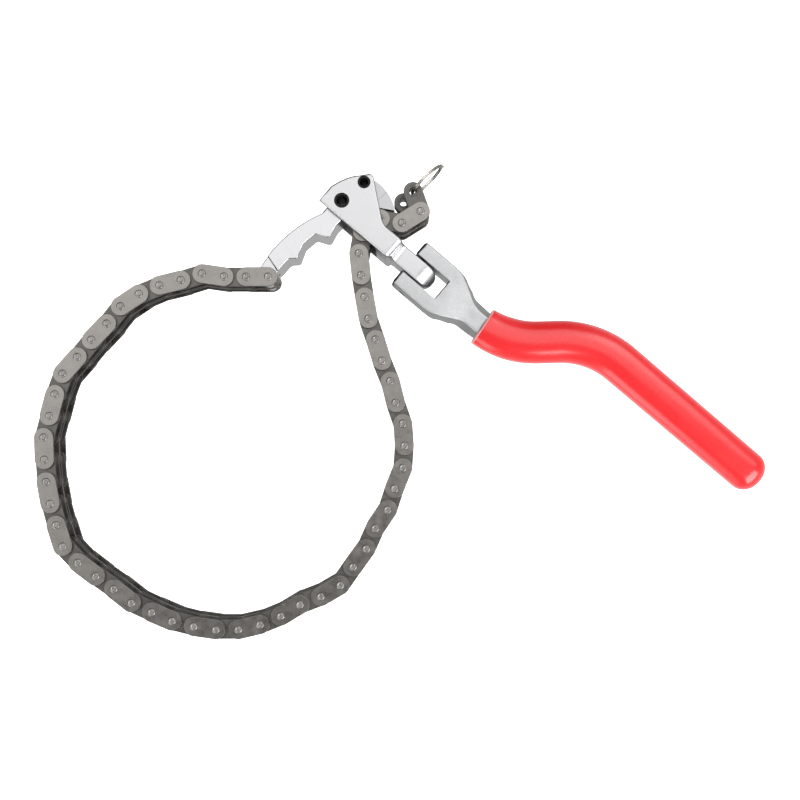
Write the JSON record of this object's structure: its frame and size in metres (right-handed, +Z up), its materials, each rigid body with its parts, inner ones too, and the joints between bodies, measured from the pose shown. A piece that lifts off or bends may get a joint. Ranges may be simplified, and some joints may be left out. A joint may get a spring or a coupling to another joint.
{
  "type": "chain oil filter wrench",
  "caption": "Lever wrench whose roller chain wraps an oil filter and locks between a toothed jaw and a spring pawl, turned by a swivelling dipped handle.",
  "frame": {"origin": "on the jaw pivot's axis, level with the outer face of the lower cheek", "axes": "+X towards the grip, +Y away from the filter, +Z up out of the upper cheek; the tool lies on XY"},
  "size_m": [0.3186, 0.2055, 0.0304],
  "materials": {
    "arm_metal": "satin",
    "pin_metal": "satin",
    "jaw_metal": "gloss",
    "outer_plates": "satin",
    "inner_plates": "satin",
    "ring_wire": "gloss",
    "grip": "gloss"
  },
  "bodies": {
    "head": {"arm": "arm_metal", "head_pins_and_spring": "pin_metal", "chain_in_head": "outer_plates"},
    "jaw": {"jaw": "jaw_metal"},
    "pawl": {"pawl": "jaw_metal"},
    "handle": {"handle": "arm_metal", "grip": "grip"},
    "outer_link_53": {"outer_link_53": "outer_plates"},
    "end_link_upper": {"end_link_upper": "inner_plates"},
    "end_link_lower": {"end_link_lower": "inner_plates"},
    "split_ring": {"split_ring": "ring_wire"},
    "outer_link_49": {"outer_link_49": "outer_plates"},
    "inner_link_48": {"inner_link_48": "inner_plates"},
    "outer_link_47": {"outer_link_47": "outer_plates"},
    "inner_link_46": {"inner_link_46": "inner_plates"},
    "outer_link_45": {"outer_link_45": "outer_plates"},
    "inner_link_44": {"inner_link_44": "inner_plates"},
    "outer_link_43": {"outer_link_43": "outer_plates"},
    "inner_link_42": {"inner_link_42": "inner_plates"},
    "outer_link_41": {"outer_link_41": "outer_plates"},
    "inner_link_40": {"inner_link_40": "inner_plates"},
    "outer_link_39": {"outer_link_39": "outer_plates"},
    "inner_link_38": {"inner_link_38": "inner_plates"},
    "outer_link_37": {"outer_link_37": "outer_plates"},
    "inner_link_36": {"inner_link_36": "inner_plates"},
    "outer_link_35": {"outer_link_35": "outer_plates"},
    "inner_link_34": {"inner_link_34": "inner_plates"},
    "outer_link_33": {"outer_link_33": "outer_plates"},
    "inner_link_32": {"inner_link_32": "inner_plates"},
    "outer_link_31": {"outer_link_31": "outer_plates"},
    "inner_link_30": {"inner_link_30": "inner_plates"},
    "outer_link_29": {"outer_link_29": "outer_plates"},
    "inner_link_28": {"inner_link_28": "inner_plates"},
    "outer_link_27": {"outer_link_27": "outer_plates"},
    "inner_link_26": {"inner_link_26": "inner_plates"},
    "outer_link_25": {"outer_link_25": "outer_plates"},
    "inner_link_24": {"inner_link_24": "inner_plates"},
    "outer_link_23": {"outer_link_23": "outer_plates"},
    "inner_link_22": {"inner_link_22": "inner_plates"},
    "outer_link_21": {"outer_link_21": "outer_plates"},
    "inner_link_20": {"inner_link_20": "inner_plates"},
    "outer_link_19": {"outer_link_19": "outer_plates"},
    "inner_link_18": {"inner_link_18": "inner_plates"},
    "outer_link_17": {"outer_link_17": "outer_plates"},
    "inner_link_16": {"inner_link_16": "inner_plates"},
    "outer_link_15": {"outer_link_15": "outer_plates"},
    "inner_link_14": {"inner_link_14": "inner_plates"},
    "outer_link_13": {"outer_link_13": "outer_plates"},
    "inner_link_12": {"inner_link_12": "inner_plates"},
    "outer_link_11": {"outer_link_11": "outer_plates"},
    "inner_link_10": {"inner_link_10": "inner_plates"},
    "outer_link_09": {"outer_link_09": "outer_plates"},
    "inner_link_08": {"inner_link_08": "inner_plates"},
    "outer_link_07": {"outer_link_07": "outer_plates"},
    "inner_link_06": {"inner_link_06": "inner_plates"},
    "outer_link_05": {"outer_link_05": "outer_plates"},
    "inner_link_04": {"inner_link_04": "inner_plates"},
    "outer_link_03": {"outer_link_03": "outer_plates"},
    "inner_link_02": {"inner_link_02": "inner_plates"},
    "outer_link_01": {"outer_link_01": "outer_plates"}
  },
  "joints": [
    {"name": "jaw_pivot", "type": "hinge", "parent": "head", "child": "jaw", "pos_m": [0, 0, 0.0152], "axis": [0, 0, 1], "range_deg": [-2, 25]},
    {"name": "pawl_pivot", "type": "hinge", "parent": "head", "child": "pawl", "pos_m": [0.00955, 0.0079, 0.0152], "axis": [0, 0, 1], "range_deg": [0, 5], "stiffness_Nm_per_rad": 0.05, "springref_deg": -17.19},
    {"name": "handle_swivel", "type": "hinge", "parent": "head", "child": "handle", "pos_m": [0.03277, -0.02861, 0.0152], "axis": [0.6455, 0.7638, 0], "range_deg": [-90, 90]},
    {"name": "free_end_pivot", "type": "hinge", "parent": "head", "child": "outer_link_53", "pos_m": [0.02582, -0.00885, 0.0152], "axis": [0, 0, 1], "range_deg": [-25, 0]},
    {"name": "end_link_upper_pivot", "type": "hinge", "parent": "outer_link_53", "child": "end_link_upper", "pos_m": [0.0339, -0.0038, 0.0152], "axis": [0, 0, 1], "range_deg": [-45, 7]},
    {"name": "end_link_lower_pivot", "type": "hinge", "parent": "outer_link_53", "child": "end_link_lower", "pos_m": [0.0339, -0.0038, 0.0152], "axis": [0, 0, 1], "range_deg": [-10, 0]},
    {"name": "ring_swing", "type": "hinge", "parent": "end_link_upper", "child": "split_ring", "pos_m": [0.03064, 0.00515, 0.02032], "axis": [0, 0, 1], "range_deg": [-50, 40]},
    {"name": "chain_pin_50", "type": "hinge", "parent": "head", "child": "outer_link_49", "pos_m": [0.00721, -0.02214, 0.0152], "axis": [0, 0, 1], "range_deg": [0, 8]},
    {"name": "chain_pin_49", "type": "hinge", "parent": "outer_link_49", "child": "inner_link_48", "pos_m": [0.00821, -0.03161, 0.0152], "axis": [0, 0, 1], "range_deg": [0, 8]},
    {"name": "chain_pin_48", "type": "hinge", "parent": "inner_link_48", "child": "outer_link_47", "pos_m": [0.0097, -0.04102, 0.0152], "axis": [0, 0, 1], "range_deg": [0, 8]},
    {"name": "chain_pin_47", "type": "hinge", "parent": "outer_link_47", "child": "inner_link_46", "pos_m": [0.01135, -0.0504, 0.0152], "axis": [0, 0, 1], "range_deg": [0, 8]},
    {"name": "chain_pin_46", "type": "hinge", "parent": "inner_link_46", "child": "outer_link_45", "pos_m": [0.01445, -0.05941, 0.0152], "axis": [0, 0, 1], "range_deg": [0, 8]},
    {"name": "chain_pin_45", "type": "hinge", "parent": "outer_link_45", "child": "inner_link_44", "pos_m": [0.01724, -0.06852, 0.0152], "axis": [0, 0, 1], "range_deg": [0, 8]},
    {"name": "chain_pin_44", "type": "hinge", "parent": "inner_link_44", "child": "outer_link_43", "pos_m": [0.02081, -0.07735, 0.0152], "axis": [0, 0, 1], "range_deg": [0, 8]},
    {"name": "chain_pin_43", "type": "hinge", "parent": "outer_link_43", "child": "inner_link_42", "pos_m": [0.02311, -0.08659, 0.0152], "axis": [0, 0, 1], "range_deg": [0, 8]},
    {"name": "chain_pin_42", "type": "hinge", "parent": "inner_link_42", "child": "outer_link_41", "pos_m": [0.02621, -0.0956, 0.0152], "axis": [0, 0, 1], "range_deg": [0, 8]},
    {"name": "chain_pin_41", "type": "hinge", "parent": "outer_link_41", "child": "inner_link_40", "pos_m": [0.02687, -0.1051, 0.0152], "axis": [0, 0, 1], "range_deg": [0, 8]},
    {"name": "chain_pin_40", "type": "hinge", "parent": "inner_link_40", "child": "outer_link_39", "pos_m": [0.02621, -0.1146, 0.0152], "axis": [0, 0, 1], "range_deg": [0, 8]},
    {"name": "chain_pin_39", "type": "hinge", "parent": "outer_link_39", "child": "inner_link_38", "pos_m": [0.02264, -0.12343, 0.0152], "axis": [0, 0, 1], "range_deg": [0, 8]},
    {"name": "chain_pin_38", "type": "hinge", "parent": "inner_link_38", "child": "outer_link_37", "pos_m": [0.0197, -0.13249, 0.0152], "axis": [0, 0, 1], "range_deg": [0, 8]},
    {"name": "chain_pin_37", "type": "hinge", "parent": "outer_link_37", "child": "inner_link_36", "pos_m": [0.01437, -0.14039, 0.0152], "axis": [0, 0, 1], "range_deg": [0, 8]},
    {"name": "chain_pin_36", "type": "hinge", "parent": "inner_link_36", "child": "outer_link_35", "pos_m": [0.0105, -0.14909, 0.0152], "axis": [0, 0, 1], "range_deg": [0, 8]},
    {"name": "chain_pin_35", "type": "hinge", "parent": "outer_link_35", "child": "inner_link_34", "pos_m": [0.0049, -0.1568, 0.0152], "axis": [0, 0, 1], "range_deg": [0, 8]},
    {"name": "chain_pin_34", "type": "hinge", "parent": "inner_link_34", "child": "outer_link_33", "pos_m": [-0.00056, -0.1646, 0.0152], "axis": [0, 0, 1], "range_deg": [0, 8]},
    {"name": "chain_pin_33", "type": "hinge", "parent": "outer_link_33", "child": "inner_link_32", "pos_m": [-0.00881, -0.16936, 0.0152], "axis": [0, 0, 1], "range_deg": [0, 8]},
    {"name": "chain_pin_32", "type": "hinge", "parent": "inner_link_32", "child": "outer_link_31", "pos_m": [-0.0177, -0.17277, 0.0152], "axis": [0, 0, 1], "range_deg": [0, 8]},
    {"name": "chain_pin_31", "type": "hinge", "parent": "outer_link_31", "child": "inner_link_30", "pos_m": [-0.02587, -0.17768, 0.0152], "axis": [0, 0, 1], "range_deg": [0, 8]},
    {"name": "chain_pin_30", "type": "hinge", "parent": "inner_link_30", "child": "outer_link_29", "pos_m": [-0.0347, -0.18125, 0.0152], "axis": [0, 0, 1], "range_deg": [0, 8]},
    {"name": "chain_pin_29", "type": "hinge", "parent": "outer_link_29", "child": "inner_link_28", "pos_m": [-0.04398, -0.18339, 0.0152], "axis": [0, 0, 1], "range_deg": [0, 8]},
    {"name": "chain_pin_28", "type": "hinge", "parent": "inner_link_28", "child": "outer_link_27", "pos_m": [-0.05351, -0.18339, 0.0152], "axis": [0, 0, 1], "range_deg": [0, 8]},
    {"name": "chain_pin_27", "type": "hinge", "parent": "outer_link_27", "child": "inner_link_26", "pos_m": [-0.06294, -0.18207, 0.0152], "axis": [0, 0, 1], "range_deg": [0, 8]},
    {"name": "chain_pin_26", "type": "hinge", "parent": "inner_link_26", "child": "outer_link_25", "pos_m": [-0.07218, -0.17976, 0.0152], "axis": [0, 0, 1], "range_deg": [0, 8]},
    {"name": "chain_pin_25", "type": "hinge", "parent": "outer_link_25", "child": "inner_link_24", "pos_m": [-0.08095, -0.17604, 0.0152], "axis": [0, 0, 1], "range_deg": [0, 8]},
    {"name": "chain_pin_24", "type": "hinge", "parent": "inner_link_24", "child": "outer_link_23", "pos_m": [-0.08958, -0.17201, 0.0152], "axis": [0, 0, 1], "range_deg": [0, 8]},
    {"name": "chain_pin_23", "type": "hinge", "parent": "outer_link_23", "child": "inner_link_22", "pos_m": [-0.09709, -0.16615, 0.0152], "axis": [0, 0, 1], "range_deg": [0, 8]},
    {"name": "chain_pin_22", "type": "hinge", "parent": "inner_link_22", "child": "outer_link_21", "pos_m": [-0.10489, -0.16069, 0.0152], "axis": [0, 0, 1], "range_deg": [0, 8]},
    {"name": "chain_pin_21", "type": "hinge", "parent": "outer_link_21", "child": "inner_link_20", "pos_m": [-0.1125, -0.15495, 0.0152], "axis": [0, 0, 1], "range_deg": [0, 8]},
    {"name": "chain_pin_20", "type": "hinge", "parent": "inner_link_20", "child": "outer_link_19", "pos_m": [-0.11911, -0.1481, 0.0152], "axis": [0, 0, 1], "range_deg": [0, 8]},
    {"name": "chain_pin_19", "type": "hinge", "parent": "outer_link_19", "child": "inner_link_18", "pos_m": [-0.12206, -0.13904, 0.0152], "axis": [0, 0, 1], "range_deg": [0, 8]},
    {"name": "chain_pin_18", "type": "hinge", "parent": "inner_link_18", "child": "outer_link_17", "pos_m": [-0.12468, -0.12989, 0.0152], "axis": [0, 0, 1], "range_deg": [0, 8]},
    {"name": "chain_pin_17", "type": "hinge", "parent": "outer_link_17", "child": "inner_link_16", "pos_m": [-0.1265, -0.12054, 0.0152], "axis": [0, 0, 1], "range_deg": [0, 8]},
    {"name": "chain_pin_16", "type": "hinge", "parent": "inner_link_16", "child": "outer_link_15", "pos_m": [-0.12733, -0.11105, 0.0152], "axis": [0, 0, 1], "range_deg": [0, 8]},
    {"name": "chain_pin_15", "type": "hinge", "parent": "outer_link_15", "child": "inner_link_14", "pos_m": [-0.12783, -0.10154, 0.0152], "axis": [0, 0, 1], "range_deg": [0, 8]},
    {"name": "chain_pin_14", "type": "hinge", "parent": "inner_link_14", "child": "outer_link_13", "pos_m": [-0.12552, -0.09229, 0.0152], "axis": [0, 0, 1], "range_deg": [0, 8]},
    {"name": "chain_pin_13", "type": "hinge", "parent": "outer_link_13", "child": "inner_link_12", "pos_m": [-0.12322, -0.08305, 0.0152], "axis": [0, 0, 1], "range_deg": [-8, 8]},
    {"name": "chain_pin_12", "type": "hinge", "parent": "inner_link_12", "child": "outer_link_11", "pos_m": [-0.11996, -0.0741, 0.0152], "axis": [0, 0, 1], "range_deg": [-8, 8]},
    {"name": "chain_pin_11", "type": "hinge", "parent": "outer_link_11", "child": "inner_link_10", "pos_m": [-0.11371, -0.06691, 0.0152], "axis": [0, 0, 1], "range_deg": [-15, 0]},
    {"name": "chain_pin_10", "type": "hinge", "parent": "inner_link_10", "child": "outer_link_09", "pos_m": [-0.10772, -0.05951, 0.0152], "axis": [0, 0, 1], "range_deg": [-15, 0]},
    {"name": "chain_pin_09", "type": "hinge", "parent": "outer_link_09", "child": "inner_link_08", "pos_m": [-0.10122, -0.05255, 0.0152], "axis": [0, 0, 1], "range_deg": [-15, 0]},
    {"name": "chain_pin_08", "type": "hinge", "parent": "inner_link_08", "child": "outer_link_07", "pos_m": [-0.09536, -0.04504, 0.0152], "axis": [0, 0, 1], "range_deg": [-15, 0]},
    {"name": "chain_pin_07", "type": "hinge", "parent": "outer_link_07", "child": "inner_link_06", "pos_m": [-0.08746, -0.03971, 0.0152], "axis": [0, 0, 1], "range_deg": [-15, 0]},
    {"name": "chain_pin_06", "type": "hinge", "parent": "inner_link_06", "child": "outer_link_05", "pos_m": [-0.07869, -0.03599, 0.0152], "axis": [0, 0, 1], "range_deg": [-15, 0]},
    {"name": "chain_pin_05", "type": "hinge", "parent": "outer_link_05", "child": "inner_link_04", "pos_m": [-0.06945, -0.03369, 0.0152], "axis": [0, 0, 1], "range_deg": [-15, 0]},
    {"name": "chain_pin_04", "type": "hinge", "parent": "inner_link_04", "child": "outer_link_03", "pos_m": [-0.06034, -0.0309, 0.0152], "axis": [0, 0, 1], "range_deg": [-15, 0]},
    {"name": "chain_pin_03", "type": "hinge", "parent": "outer_link_03", "child": "inner_link_02", "pos_m": [-0.05091, -0.03223, 0.0152], "axis": [0, 0, 1], "range_deg": [-15, 0]},
    {"name": "chain_pin_02", "type": "hinge", "parent": "inner_link_02", "child": "outer_link_01", "pos_m": [-0.04139, -0.03223, 0.0152], "axis": [0, 0, 1], "range_deg": [-15, 0]}
  ]
}
